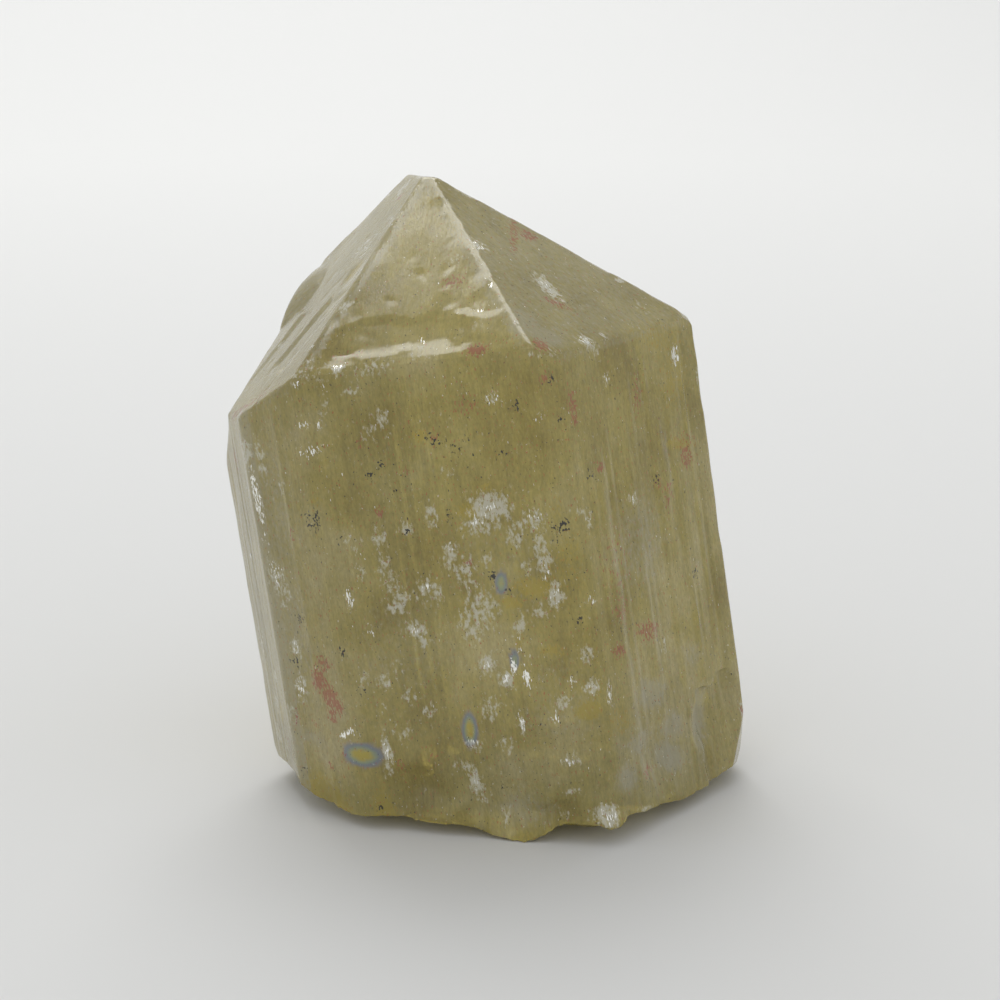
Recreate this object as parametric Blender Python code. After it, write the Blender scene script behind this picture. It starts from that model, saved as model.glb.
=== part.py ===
# Fluorapatite crystal: one hexagonal prism with a six-sided pyramid on top and a broken base.
# It stands on the break, leaning a little to the left and to the back.
# The script works in millimetres and scales the finished mesh to metres. +Z is up, the ground is z = 0,
# and the origin is on the ground under the middle of the crystal.
import math

import bmesh
import bpy
import numpy as np
from mathutils import Matrix, Vector, noise

MM = 0.001

# Driving dimensions of the crystal's form
AXIAL_RATIO = 0.7319  # c / a of fluorapatite, which fixes the slope of the pyramid
PYRAMID_SLOPE = math.degrees(math.atan(2.0 * AXIAL_RATIO / math.sqrt(3.0)))
LEAN_LEFT = 8.5  # degrees from upright, seen from the front
LEAN_BACK = 6.1
TURN = -9.1  # degrees about the long axis, so that the front face looks a little to the left
AXIS_FOOT = (2.06, -1.24)  # where the long axis meets the ground
HEART = 14.0  # height on the long axis of the point from which every part of the surface can be seen

# Prism faces: bearing about the long axis (0 is the front, 90 the right), distance from the axis
PRISM_FACES = {
    "front": (0.0, 10.98),
    "front_right": (60.0, 11.40),
    "back_right": (120.0, 11.56),
    "back": (180.0, 11.05),
    "back_left": (-120.0, 9.60),
    "front_left": (-60.0, 13.72),
    "left_truncation": (-30.0, 12.92),
    "right_truncation": (30.0, 12.53),
    "rear_truncation": (150.0, 12.75),
}

# Pyramid faces: bearing, height at which the face meets the long axis
PYRAMID_FACES = {
    "front_pyramid": (0.0, 34.55),
    "right_pyramid": (60.0, 34.31),
    "back_right_pyramid": (120.0, 34.41),
    "back_pyramid": (180.0, 37.30),
    "back_left_pyramid": (-120.0, 37.50),
    "left_pyramid": (-60.0, 34.87),
}

# Broken facets: the three faces whose corner is broken off, then the break's bearing, its tilt from the
# long axis (0 looks along the axis, 90 sideways) and the depth taken off the corner
BROKEN_FACETS = {
    "tip_break": (("front_pyramid", "left_pyramid", "right_pyramid"), 95.0, 9.0, 0.30),
    "right_shoulder": (("right_pyramid", "front_right", "back_right"), 88.0, 52.0, 0.30),
    "left_shoulder": (("left_pyramid", "front_left", "back_left"), -94.0, 63.0, 1.30),
    "rear_shoulder": (("back_pyramid", "back", "back_left"), -152.0, 58.0, 0.90),
    "right_foot": (("front_right", "back_right", "ground"), 86.0, 106.0, 1.10),
    "rear_foot": (("back", "rear_truncation", "ground"), 168.0, 128.0, 1.30),
    "left_foot": (("front_left", "back_left", "ground"), -95.0, 122.0, 0.90),
}

# Height of the broken rim over the ground, by world bearing round the foot
RIM_HEIGHTS = (
    (-180.0, 1.1), (-120.0, 0.9), (-80.0, 1.1), (-56.0, 1.5), (-47.0, 0.9), (-35.0, 0.6), (-21.0, 0.95),
    (-12.0, 0.8), (-3.0, 0.5), (2.0, 0.15), (9.0, 0.15), (14.0, 0.5), (19.0, 1.1), (27.0, 1.2),
    (31.0, 1.6), (38.0, 1.3), (50.0, 0.8), (62.0, 0.85), (72.0, 1.2), (90.0, 1.3), (130.0, 1.2), (180.0, 1.1),
)
RIM_WIDTH = 3.2  # how far in from the rim the break comes down to the ground
RIM_WANDER = 0.35  # how much that distance varies
RIM_WANDER_LENGTH = 4.0
RIM_CURVE = 1.5  # how roundly the underside leaves the ground
RIM_LUMP = 0.25  # unevenness of the rim
LUMP_LENGTH = 2.6
LOWEST_RIM = 0.12

# Relief of the faces
STRIATION_DEPTH = 0.035  # fine ridges along the prism faces
STRIATION_WIDTHS = (3.7, 2.3, 1.45)
STRIATION_WAVER = 0.6  # how far the ridges sway, in radians of their own wave
STRIATION_SWAY_LENGTH = 9.0
SWELL_DEPTH = 0.05  # slow unevenness of every face
SWELL_LENGTH = 6.0
BREAK_RIPPLE = 0.12  # shell-like ripples on the broken facets
RIPPLE_LENGTH = 2.2
EDGE_BAND = 1.1  # the relief fades out over this distance from an edge, so that the edges stay straight
EDGE_ROUND = 0.05  # how much the edges are worn down
EDGE_CHIP = 0.11  # how deep the nibbled places on the edges go
CHIP_SHARE = 2.0  # how sharply a nibbled place sets off from the whole edge beside it
CHIP_LENGTH = 2.4
CHIP_REACH = 0.5  # how far a nibbled place spreads over the faces
LEDGE_RAMP = 0.35  # width of the step at a ledge's side
LEDGE_WANDER = 0.35  # how far a ledge's side strays from straight
LEDGE_TAPER = 2.0  # how much faster a ledge's end strays and rises than its side
WANDER_LENGTH = 1.8
SHOULDER = 27.5  # height on the long axis from which places on the sloping faces are measured
LEAST_FACING = 1e-6  # a face that looks away from a point is as good as endlessly far from it

# Where each kind of unevenness starts in the noise
SEEDS = {"swell": 3.1, "striation": 1.7, "ripple": 5.3, "wander": 11.0, "chip": 21.0, "lump": 7.0, "rim": 2.0}

# Ledges on faces: centre across, centre along, half width, half length, rise
# Across is measured to the right and along upward, as someone facing that face sees it
LEDGES = {
    "front": ((-5.2, 12.0, 1.2, 8.0, 0.07), (1.6, 9.0, 0.9, 7.5, -0.06), (4.6, 15.5, 0.8, 5.0, 0.06),
              (-2.2, 4.6, 1.6, 3.4, -0.10), (3.4, 3.6, 1.3, 2.8, 0.09)),
    "front_right": ((-3.6, 11.0, 0.9, 9.0, 0.09), (4.9, 0.3, 2.5, 3.9, -0.30), (0.6, 9.0, 1.0, 4.5, -0.07),
                    (2.0, 16.0, 0.8, 4.6, 0.07)),
    "front_left": ((-2.5, 10.0, 1.3, 8.0, 0.09), (2.0, 16.0, 1.0, 5.5, -0.10)),
    "back_left": ((-3.0, 8.0, 1.3, 7.0, -0.16), (2.4, 15.0, 1.2, 6.5, 0.14), (-0.6, 18.0, 1.0, 4.0, -0.12)),
    "back": ((-3.4, 11.0, 1.2, 8.5, 0.15), (0.8, 7.0, 1.6, 5.5, -0.18), (3.8, 14.5, 0.9, 7.0, 0.12)),
    "back_right": ((-3.8, 13.0, 1.0, 8.0, -0.14), (0.4, 9.5, 1.4, 7.0, 0.13), (4.2, 6.0, 1.2, 5.0, -0.17)),
    "front_pyramid": ((-2.6, -7.6, 2.4, 1.1, -0.12), (3.2, -8.0, 1.5, 0.9, 0.08)),
    "right_pyramid": ((-4.2, -7.8, 1.6, 2.3, -0.07), (1.5, -6.4, 2.6, 1.0, 0.06)),
    "left_pyramid": ((-3.0, -8.4, 1.8, 2.5, 0.10), (2.0, -7.0, 1.1, 2.8, -0.10)),
    "back_pyramid": ((1.0, -8.0, 2.5, 1.6, -0.14),),
    "back_left_pyramid": ((-0.5, -6.5, 2.0, 1.8, 0.12),),
    "back_right_pyramid": ((2.0, -7.5, 1.8, 2.2, -0.12),),
}

# Shallow shell-shaped hollows: centre across, centre along, radius, depth
HOLLOWS = {
    "front": ((-4.0, 1.6, 2.1, 0.28), (0.6, 0.9, 1.7, 0.22), (-0.5, 12.8, 1.7, 0.10),
              (-3.0, 17.9, 1.3, 0.12)),
    "front_right": ((-1.4, 1.9, 1.9, 0.30), (2.9, 2.2, 1.5, 0.26), (3.9, 18.0, 1.2, 0.10)),
    "front_left": ((0.5, 1.8, 2.0, 0.26),),
    "back_left": ((0.0, 2.0, 2.4, 0.38), (3.3, 11.0, 1.6, 0.16)),
    "back": ((-2.5, 1.7, 2.2, 0.34), (3.2, 2.2, 1.8, 0.30), (-1.0, 16.8, 1.5, 0.14)),
    "back_right": ((-2.8, 1.8, 2.0, 0.32), (2.6, 2.4, 2.3, 0.36)),
    "front_pyramid": ((1.0, -8.3, 1.9, 0.16), (-4.4, -9.0, 1.1, 0.12)),
    "right_pyramid": ((-1.1, -5.9, 1.3, 0.12), (3.0, -9.0, 1.2, 0.10)),
    "left_pyramid": ((1.8, -3.0, 1.2, 0.09),),
    "back_pyramid": ((-1.6, -2.5, 1.8, 0.14),),
    "back_left_pyramid": ((1.5, -1.0, 1.6, 0.12),),
    "back_right_pyramid": ((-1.5, -3.5, 1.5, 0.12),),
}

# Knobs left standing on the broken rim and the left shoulder: place from the axis foot, radius, rise
KNOBS = (
    ((5.05, -11.85, 1.15), 1.0, 0.42),
    ((0.15, -11.55, 0.75), 1.5, 0.22),
    ((-5.25, -10.35, 0.95), 1.4, 0.18),
    ((-13.5, 5.4, 26.5), 2.8, 0.50),
)

# Mesh sizes: width of the lengthwise strips and length of their pieces on each kind of face
LATTICE = {"prism": (0.66, 2.1), "pyramid": (1.0, 1.0), "break": (0.8, 0.8), "ground": (1.25, 1.25)}
RIM_STEP = 0.75  # length of the pieces near the foot of a prism face
RIM_BAND = 3.4  # height of that finer band
BLOCK_SIZE = 200.0  # the block that the crystal is cut from
CUT_TOLERANCE = 0.006
MERGE_DISTANCE = 0.06  # no lattice line runs closer than this past a corner

# The stone itself
BODY_COLOUR = (0.23, 0.19, 0.075)  # linear olive yellow
BODY_ROUGHNESS = 0.3
BODY_IOR = 1.633
CLEARNESS = 0.5


class Face:
    """A flat face of the crystal: outward normal, distance from the origin, and directions in its plane."""

    def __init__(self, name, bearing, slope, distance, pose):
        self.name = name
        self.normal = pose @ direction(bearing, slope)
        self.distance = distance
        self.across = pose @ direction(bearing + 90.0, 90.0)
        self.along = self.normal.cross(self.across)


def direction(bearing, slope):
    """Unit vector at a bearing round the long axis, tilted by a slope away from it."""
    turn = math.radians(bearing)
    tilt = math.radians(slope)
    return Vector((math.sin(turn) * math.sin(tilt), -math.cos(turn) * math.sin(tilt), math.cos(tilt)))


def crystal_pose():
    """Rotation that leans the upright crystal to the left and back and turns it on its axis."""
    left = Matrix.Rotation(-math.radians(LEAN_LEFT), 3, "Y")
    back = Matrix.Rotation(-math.radians(LEAN_BACK), 3, "X")
    turn = Matrix.Rotation(math.radians(TURN), 3, "Z")
    return left @ back @ turn


def meeting_point(faces):
    """The corner that three faces share."""
    rows = Matrix([face.normal for face in faces])
    return rows.inverted() @ Vector([face.distance for face in faces])


def crystal_faces():
    """Every flat face of the crystal in world millimetres, with the ground as the last one."""
    pose = crystal_pose()
    foot = Vector((*AXIS_FOOT, 0.0))
    faces = {}
    for name, (bearing, distance) in PRISM_FACES.items():
        face = Face(name, bearing, 90.0, distance, pose)
        face.distance += face.normal.dot(foot)
        faces[name] = face
    for name, (bearing, apex) in PYRAMID_FACES.items():
        apex_point = foot + pose @ Vector((0.0, 0.0, apex))
        face = Face(name, bearing, PYRAMID_SLOPE, 0.0, pose)
        face.distance = face.normal.dot(apex_point)
        faces[name] = face
    faces["ground"] = Face("ground", 0.0, 180.0, 0.0, Matrix.Identity(3))
    for name, (corner_faces, bearing, slope, depth) in BROKEN_FACETS.items():
        corner = meeting_point([faces[corner_face] for corner_face in corner_faces])
        face = Face(name, bearing, slope, 0.0, pose)
        face.distance = face.normal.dot(corner) - depth
        faces[name] = face
    return faces


def face_kind(name):
    """What sort of face a name belongs to."""
    if name in PRISM_FACES:
        return "prism"
    if name in PYRAMID_FACES:
        return "pyramid"
    if name in BROKEN_FACETS:
        return "break"
    return "ground"


def cut_faces(bm, faces, layer):
    """Cut a block down to the crystal, one flat face at a time, and number each face's polygons."""
    for index, face in enumerate(faces.values()):
        geometry = bm.verts[:] + bm.edges[:] + bm.faces[:]
        cut = bmesh.ops.bisect_plane(
            bm, geom=geometry, dist=CUT_TOLERANCE, clear_outer=True,
            plane_co=face.normal * face.distance, plane_no=face.normal)
        rim = [item for item in cut["geom_cut"] if isinstance(item, bmesh.types.BMEdge)]
        if rim:
            for polygon in bmesh.ops.edgeloop_fill(bm, edges=rim)["faces"]:
                polygon[layer] = index


def slice_face(bm, layer, index, normal, positions):
    """Cut one face's polygons into strips at the given positions along a direction."""
    for position in positions:
        polygons = [polygon for polygon in bm.faces if polygon[layer] == index]
        edges = list({edge for polygon in polygons for edge in polygon.edges})
        verts = list({vert for polygon in polygons for vert in polygon.verts})
        bmesh.ops.bisect_plane(
            bm, geom=polygons + edges + verts, dist=MERGE_DISTANCE,
            plane_co=normal * position, plane_no=normal)


def spread(low, high, step):
    """Evenly spaced positions between two limits, at most a step apart."""
    count = max(1, math.ceil((high - low) / step))
    return [low + (high - low) * number / count for number in range(1, count)]


def lay_lattice(bm, faces, layer):
    """Divide every flat face into small pieces, so that the relief has points to move."""
    for index, face in enumerate(faces.values()):
        corners = [vert.co for polygon in bm.faces if polygon[layer] == index for vert in polygon.verts]
        if not corners:
            continue
        across = [corner.dot(face.across) for corner in corners]
        along = [corner.dot(face.along) for corner in corners]
        low, high = min(along), max(along)
        kind = face_kind(face.name)
        width, length = LATTICE[kind]
        steps = spread(low, high, length)
        if kind == "prism":
            band = low + RIM_BAND
            steps = spread(low, band, RIM_STEP) + [band] + spread(band, high, length)
        slice_face(bm, layer, index, face.across, spread(min(across), max(across), width))
        slice_face(bm, layer, index, face.along, steps)


def noise_at(points, length, seed):
    """Smooth noise between about -1 and 1 at each point, with features of a given length."""
    offset = Vector((seed, 2.0 * seed, -seed))
    return np.array([noise.noise(Vector(point) / length + offset) for point in points])


def striations(across, along, seed):
    """Fine uneven ridges that run along the prism."""
    ridges = np.zeros_like(across)
    for order, width in enumerate(STRIATION_WIDTHS, start=1):
        sway = STRIATION_WAVER * np.sin(order * along / STRIATION_SWAY_LENGTH)
        ridges += np.sin(2.0 * math.pi * across / width + seed * order + sway) / order
    return STRIATION_DEPTH * ridges


def ledge(across, along, wander, shape):
    """A flat-topped step with ragged sides that run along the face."""
    centre_across, centre_along, half_width, half_length, rise = shape
    side = half_width - np.abs(across - centre_across) + LEDGE_WANDER * wander
    end = half_length - np.abs(along - centre_along) + LEDGE_TAPER * LEDGE_WANDER * wander
    edge = np.minimum(side, LEDGE_TAPER * end * half_width / half_length)
    return rise * np.clip(edge / LEDGE_RAMP, 0.0, 1.0)


def hollow(across, along, shape):
    """A shallow shell-shaped hollow, as a blow leaves."""
    centre_across, centre_along, radius, depth = shape
    reach = ((across - centre_across) ** 2 + (along - centre_along) ** 2) / radius ** 2
    return -depth * np.clip(1.0 - reach, 0.0, 1.0)


def face_relief(face, points, number):
    """How far the real surface stands over a flat face at each point."""
    foot = Vector((*AXIS_FOOT, 0.0))
    start = foot
    kind = face_kind(face.name)
    if kind != "prism":
        start = foot + crystal_pose() @ Vector((0.0, 0.0, SHOULDER))
    across = (points - np.array(foot)) @ np.array(face.across)
    along = (points - np.array(start)) @ np.array(face.along)
    height = SWELL_DEPTH * noise_at(points, SWELL_LENGTH, SEEDS["swell"] * number)
    if kind == "prism":
        height += striations(across, along, SEEDS["striation"] * number)
    if kind == "break":
        height += BREAK_RIPPLE * noise_at(points, RIPPLE_LENGTH, SEEDS["ripple"] * number)
    wander = noise_at(points, WANDER_LENGTH, SEEDS["wander"] + number)
    for shape in LEDGES.get(face.name, ()):
        height += ledge(across, along, wander, shape)
    for shape in HOLLOWS.get(face.name, ()):
        height += hollow(across, along, shape)
    return height


def underside_height(points, faces):
    """Height of the break over the ground: flat in the middle, rising lumpily to the rim."""
    slack = [faces[name].distance - points @ np.array(faces[name].normal) for name in PRISM_FACES]
    inside = np.maximum(np.min(slack, axis=0), 0.0)
    bearing = np.degrees(np.arctan2(points[:, 0], -points[:, 1]))
    rim = np.interp(bearing, [item[0] for item in RIM_HEIGHTS], [item[1] for item in RIM_HEIGHTS])
    rim = np.maximum(rim + RIM_LUMP * noise_at(points, LUMP_LENGTH, SEEDS["lump"]), LOWEST_RIM)
    width = RIM_WIDTH * (1.0 + RIM_WANDER * noise_at(points, RIM_WANDER_LENGTH, SEEDS["rim"]))
    return rim * np.clip(1.0 - inside / width, 0.0, 1.0) ** RIM_CURVE


def edge_wear(points, gap):
    """How much is worn off near an edge, from the distance by which the nearest face is nearest."""
    bite = np.clip(CHIP_SHARE * noise_at(points, CHIP_LENGTH, SEEDS["chip"]), 0.0, 1.0)
    clear_of_foot = np.clip(points[:, 2] / RIM_BAND, 0.0, 1.0)
    rounded = EDGE_ROUND * np.exp(-gap / EDGE_ROUND)
    return (rounded + EDGE_CHIP * bite * np.exp(-gap / CHIP_REACH)) * clear_of_foot


def knob_rise(points):
    """Outward swelling of the knobs."""
    rise = np.zeros(len(points))
    foot = np.array((*AXIS_FOOT, 0.0))
    for place, radius, height in KNOBS:
        reach = np.linalg.norm(points - foot - np.array(place), axis=1) / radius
        rise += height * np.clip(1.0 - reach ** 2, 0.0, 1.0)
    return rise


def real_surface(points, faces):
    """Move points of the ideal crystal along lines from its heart onto the real, worn surface."""
    heart = np.array(Vector((*AXIS_FOOT, 0.0)) + crystal_pose() @ Vector((0.0, 0.0, HEART)))
    rays = points - heart
    lengths = np.linalg.norm(rays, axis=1)
    upper = [face for face in faces.values() if face.name != "ground"]
    slack = np.sort([face.distance - points @ np.array(face.normal) for face in upper], axis=0)
    calm = np.clip(slack[1] / EDGE_BAND, 0.0, 1.0)
    reaches = []
    for number, face in enumerate(faces.values()):
        normal = np.array(face.normal)
        if face.name == "ground":
            relief = -underside_height(points, faces)
        else:
            relief = calm * face_relief(face, points, number)
        toward = np.maximum(rays @ normal, LEAST_FACING)
        reaches.append((face.distance + relief - heart @ normal) / toward)
    reaches = np.sort(reaches, axis=0)
    gap = (reaches[1] - reaches[0]) * lengths
    share = reaches[0] + (knob_rise(points) - edge_wear(points, gap)) / lengths
    moved = heart + rays * share[:, None]
    moved[:, 2] = np.maximum(moved[:, 2], 0.0)
    return moved


def crystal_material():
    """Olive-yellow fluorapatite, half clear."""
    material = bpy.data.materials.new("olive_fluorapatite")
    material.use_nodes = True
    shader = material.node_tree.nodes["Principled BSDF"]
    shader.inputs["Base Color"].default_value = (*BODY_COLOUR, 1.0)
    shader.inputs["Roughness"].default_value = BODY_ROUGHNESS
    shader.inputs["Metallic"].default_value = 0.0
    shader.inputs["IOR"].default_value = BODY_IOR
    shader.inputs["Transmission Weight"].default_value = CLEARNESS
    return material


def crystal_mesh():
    """The worn crystal as one closed mesh in metres."""
    faces = crystal_faces()
    bm = bmesh.new()
    layer = bm.faces.layers.int.new("crystal_face")
    bmesh.ops.create_cube(bm, size=BLOCK_SIZE)
    cut_faces(bm, faces, layer)
    lay_lattice(bm, faces, layer)
    bmesh.ops.triangulate(bm, faces=bm.faces[:], quad_method="SHORT_EDGE", ngon_method="BEAUTY")
    points = np.array([vert.co[:] for vert in bm.verts])
    for vert, place in zip(bm.verts, real_surface(points, faces)):
        vert.co = Vector(place) * MM
    bm.faces.layers.int.remove(layer)
    bmesh.ops.recalc_face_normals(bm, faces=bm.faces[:])
    mesh = bpy.data.meshes.new("fluorapatite_crystal")
    bm.to_mesh(mesh)
    bm.free()
    return mesh


def main():
    for item in list(bpy.data.objects):
        bpy.data.objects.remove(item, do_unlink=True)
    crystal = bpy.data.objects.new("fluorapatite_crystal", crystal_mesh())
    crystal.data.materials.append(crystal_material())
    bpy.context.scene.collection.objects.link(crystal)


main()
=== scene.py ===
import math
import random

import bmesh
import bpy
import numpy as np
from mathutils import Matrix, Vector, noise


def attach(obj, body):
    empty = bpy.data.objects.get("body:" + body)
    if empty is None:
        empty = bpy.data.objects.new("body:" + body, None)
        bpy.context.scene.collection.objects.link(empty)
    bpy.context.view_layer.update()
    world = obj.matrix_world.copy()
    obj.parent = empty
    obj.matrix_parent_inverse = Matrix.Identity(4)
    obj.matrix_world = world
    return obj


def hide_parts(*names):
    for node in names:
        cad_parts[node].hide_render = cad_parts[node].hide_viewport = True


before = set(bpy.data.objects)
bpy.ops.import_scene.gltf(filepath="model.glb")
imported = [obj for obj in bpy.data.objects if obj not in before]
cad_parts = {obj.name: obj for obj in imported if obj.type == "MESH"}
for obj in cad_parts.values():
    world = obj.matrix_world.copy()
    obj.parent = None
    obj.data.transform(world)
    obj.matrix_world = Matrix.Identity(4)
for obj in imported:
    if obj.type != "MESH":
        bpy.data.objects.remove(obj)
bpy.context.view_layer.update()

# Millimetres throughout, turned into metres only where a mesh or an object is made.
mm = 0.001


# Colours and nodes, shared by every material.
def hexToLinear(code):
    values = [int(code[i:i + 2], 16) / 255 for i in (1, 3, 5)]
    return tuple(v / 12.92 if v <= 0.04045 else ((v + 0.055) / 1.055) ** 2.4 for v in values) + (1.0,)


def addNode(tree, kind, settings=None, links=None):
    node = tree.nodes.new(kind)
    for name, value in (settings or {}).items():
        if isinstance(name, int) or name in node.inputs:
            node.inputs[name].default_value = value
        else:
            setattr(node, name, value)
    for name, source in (links or {}).items():
        tree.links.new(source, node.inputs[name])
    return node


# The crystal's form, in millimetres and degrees.
crystalForm = {
    "axialRatio": 0.7319,  # c / a of fluorapatite, sets the slope of the pyramid
    "leanLeft": 8.5, "leanBack": 6.1, "turn": -9.1,  # degrees
    "axisFoot": (2.06, -1.24), "heart": 14.0, "shoulder": 27.5,
    "prismFaces": {  # bearing about the long axis, distance from it
        "front": (0.0, 10.98), "frontRight": (60.0, 11.40), "backRight": (120.0, 11.56), "back": (180.0, 11.05),
        "backLeft": (-120.0, 9.60), "frontLeft": (-60.0, 13.72), "leftTruncation": (-30.0, 12.92),
        "rightTruncation": (30.0, 12.53), "rearTruncation": (150.0, 12.75),
    },
    "pyramidFaces": {  # bearing, height where the face meets the axis
        "frontPyramid": (0.0, 34.55), "rightPyramid": (60.0, 34.31), "backRightPyramid": (120.0, 34.41),
        "backPyramid": (180.0, 37.30), "backLeftPyramid": (-120.0, 37.50), "leftPyramid": (-60.0, 34.87),
    },
    "brokenFacets": {  # the corner broken off, bearing, tilt, depth
        "tipBreak": (("frontPyramid", "leftPyramid", "rightPyramid"), 95.0, 9.0, 0.30),
        "rightShoulder": (("rightPyramid", "frontRight", "backRight"), 88.0, 52.0, 0.30),
        "leftShoulder": (("leftPyramid", "frontLeft", "backLeft"), -94.0, 63.0, 1.30),
        "rearShoulder": (("backPyramid", "back", "backLeft"), -152.0, 58.0, 0.90),
        "rightFoot": (("frontRight", "backRight", "ground"), 86.0, 106.0, 1.10),
        "rearFoot": (("back", "rearTruncation", "ground"), 168.0, 128.0, 1.30),
        "leftFoot": (("frontLeft", "backLeft", "ground"), -95.0, 122.0, 0.90),
    },
    "rimHeights": (  # height of the broken rim over the ground, by bearing
        (-180, 1.1), (-120, 0.9), (-80, 1.1), (-56, 1.5), (-47, 0.9), (-35, 0.6), (-21, 0.95), (-12, 0.8),
        (-3, 0.5), (2, 0.15), (9, 0.15), (14, 0.5), (19, 1.1), (27, 1.2), (31, 1.6), (38, 1.3), (50, 0.8),
        (62, 0.85), (72, 1.2), (90, 1.3), (130, 1.2), (180, 1.1),
    ),
    "rimWidth": 3.2, "rimWander": 0.35, "rimWanderLength": 4.0, "rimCurve": 1.5, "rimLump": 0.25,
    "lumpLength": 2.6, "lowestRim": 0.12, "rimBand": 3.4, "rimStep": 0.75,
    "striationDepth": 0.035, "striationWidths": (3.7, 2.3, 1.45), "striationWaver": 0.6,
    "striationSway": 9.0, "swellDepth": 0.05, "swellLength": 6.0, "breakRipple": 0.12, "rippleLength": 2.2,
    "edgeBand": 1.1, "edgeRound": 0.05, "edgeChip": 0.06, "chipShare": 2.0, "chipLength": 2.4, "chipReach": 0.5,
    "ledgeRamp": 0.35, "ledgeWander": 0.35, "ledgeTaper": 2.0, "wanderLength": 1.8,
    "ledges": {  # centre across, centre along, half width, half length, rise
        "front": ((-5.2, 12.0, 1.2, 8.0, 0.07), (1.6, 9.0, 0.9, 7.5, -0.06), (4.6, 15.5, 0.8, 5.0, 0.06),
                  (-2.2, 4.6, 1.6, 3.4, -0.10), (3.4, 3.6, 1.3, 2.8, 0.09)),
        "frontRight": ((-3.6, 11.0, 0.9, 9.0, 0.09), (4.9, 0.3, 2.5, 3.9, -0.30), (0.6, 9.0, 1.0, 4.5, -0.07),
                       (2.0, 16.0, 0.8, 4.6, 0.07)),
        "frontLeft": ((-2.5, 10.0, 1.3, 8.0, 0.09), (2.0, 16.0, 1.0, 5.5, -0.10)),
        "backLeft": ((-3.0, 8.0, 1.3, 7.0, -0.16), (2.4, 15.0, 1.2, 6.5, 0.14), (-0.6, 18.0, 1.0, 4.0, -0.12)),
        "back": ((-3.4, 11.0, 1.2, 8.5, 0.15), (0.8, 7.0, 1.6, 5.5, -0.18), (3.8, 14.5, 0.9, 7.0, 0.12)),
        "backRight": ((-3.8, 13.0, 1.0, 8.0, -0.14), (0.4, 9.5, 1.4, 7.0, 0.13), (4.2, 6.0, 1.2, 5.0, -0.17)),
        "frontPyramid": ((-2.6, -7.6, 2.4, 1.1, -0.12), (3.2, -8.0, 1.5, 0.9, 0.08)),
        "rightPyramid": ((-4.2, -7.8, 1.6, 2.3, -0.07), (1.5, -6.4, 2.6, 1.0, 0.06)),
        "leftPyramid": ((-3.0, -8.4, 1.8, 2.5, 0.10), (2.0, -7.0, 1.1, 2.8, -0.10)),
        "backPyramid": ((1.0, -8.0, 2.5, 1.6, -0.14),),
        "backLeftPyramid": ((-0.5, -6.5, 2.0, 1.8, 0.12),),
        "backRightPyramid": ((2.0, -7.5, 1.8, 2.2, -0.12),),
    },
    "hollows": {  # centre across, centre along, radius, depth
        "front": ((-4.0, 1.6, 2.1, 0.28), (0.6, 0.9, 1.7, 0.22), (-0.5, 12.8, 1.7, 0.10), (-3.0, 17.9, 1.3, 0.12)),
        "frontRight": ((-1.4, 1.9, 1.9, 0.30), (2.9, 2.2, 1.5, 0.26), (3.9, 18.0, 1.2, 0.10)),
        "frontLeft": ((0.5, 1.8, 2.0, 0.26),),
        "backLeft": ((0.0, 2.0, 2.4, 0.38), (3.3, 11.0, 1.6, 0.16)),
        "back": ((-2.5, 1.7, 2.2, 0.34), (3.2, 2.2, 1.8, 0.30), (-1.0, 16.8, 1.5, 0.14)),
        "backRight": ((-2.8, 1.8, 2.0, 0.32), (2.6, 2.4, 2.3, 0.36)),
        "frontPyramid": ((1.0, -8.3, 1.9, 0.16), (-4.4, -9.0, 1.1, 0.12)),
        "rightPyramid": ((-1.1, -5.9, 1.3, 0.12), (3.0, -9.0, 1.2, 0.10)),
        "leftPyramid": ((1.8, -3.0, 1.2, 0.09),),
        "backPyramid": ((-1.6, -2.5, 1.8, 0.14),),
        "backLeftPyramid": ((1.5, -1.0, 1.6, 0.12),),
        "backRightPyramid": ((-1.5, -3.5, 1.5, 0.12),),
    },
    "knobs": (  # place from the axis foot, radius, rise
        ((5.05, -11.85, 1.15), 1.0, 0.42), ((0.15, -11.55, 0.75), 1.5, 0.22),
        ((-5.25, -10.35, 0.95), 1.4, 0.18), ((-13.5, 5.4, 26.5), 2.8, 0.50),
    ),
    "seeds": {"swell": 3.1, "striation": 1.7, "ripple": 5.3, "wander": 11.0, "chip": 21.0, "lump": 7.0, "rim": 2.0,
              "fineRidge": 31, "pit": 41},
    "lattice": {"prism": (0.64, 1.3), "pyramid": (0.9, 0.9), "break": (0.8, 0.8), "ground": (1.25, 1.25)},
    "finer": 3,  # cuts added to every edge of that lattice
    "fineRidge": 0.012, "fineRidgeWidths": (0.83, 0.57),  # the narrow striations between the wide ones
    "fineRidgeLength": 1.6, "fineRidgeStretch": 0.3,  # how soon they come and go, and how stretched that is
    "pitDepth": 0.03, "pitLength": 0.9, "pitGain": 2.5, "pitLevel": 0.7,  # small etched pits
    "evenFaces": {"frontLeft": 0.3, "rightPyramid": 0.6},  # these grew smoother: share of the relief they keep
    "faceReach": 2.5,  # a face's relief is worked out only for points nearer to it than this
    "block": 200, "cutSnap": 0.006, "latticeSnap": 0.06,  # block that is cut, and how near a cut joins a corner
    "grainShift": 37.0,  # keeps the grain of one face apart from the next
    "sharpAngle": 28,
}


def direction(bearing, slope):
    turn, tilt = math.radians(bearing), math.radians(slope)
    return Vector((math.sin(turn) * math.sin(tilt), -math.cos(turn) * math.sin(tilt), math.cos(tilt)))


def crystalPose():
    left = Matrix.Rotation(-math.radians(crystalForm["leanLeft"]), 3, "Y")
    back = Matrix.Rotation(-math.radians(crystalForm["leanBack"]), 3, "X")
    return left @ back @ Matrix.Rotation(math.radians(crystalForm["turn"]), 3, "Z")


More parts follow.
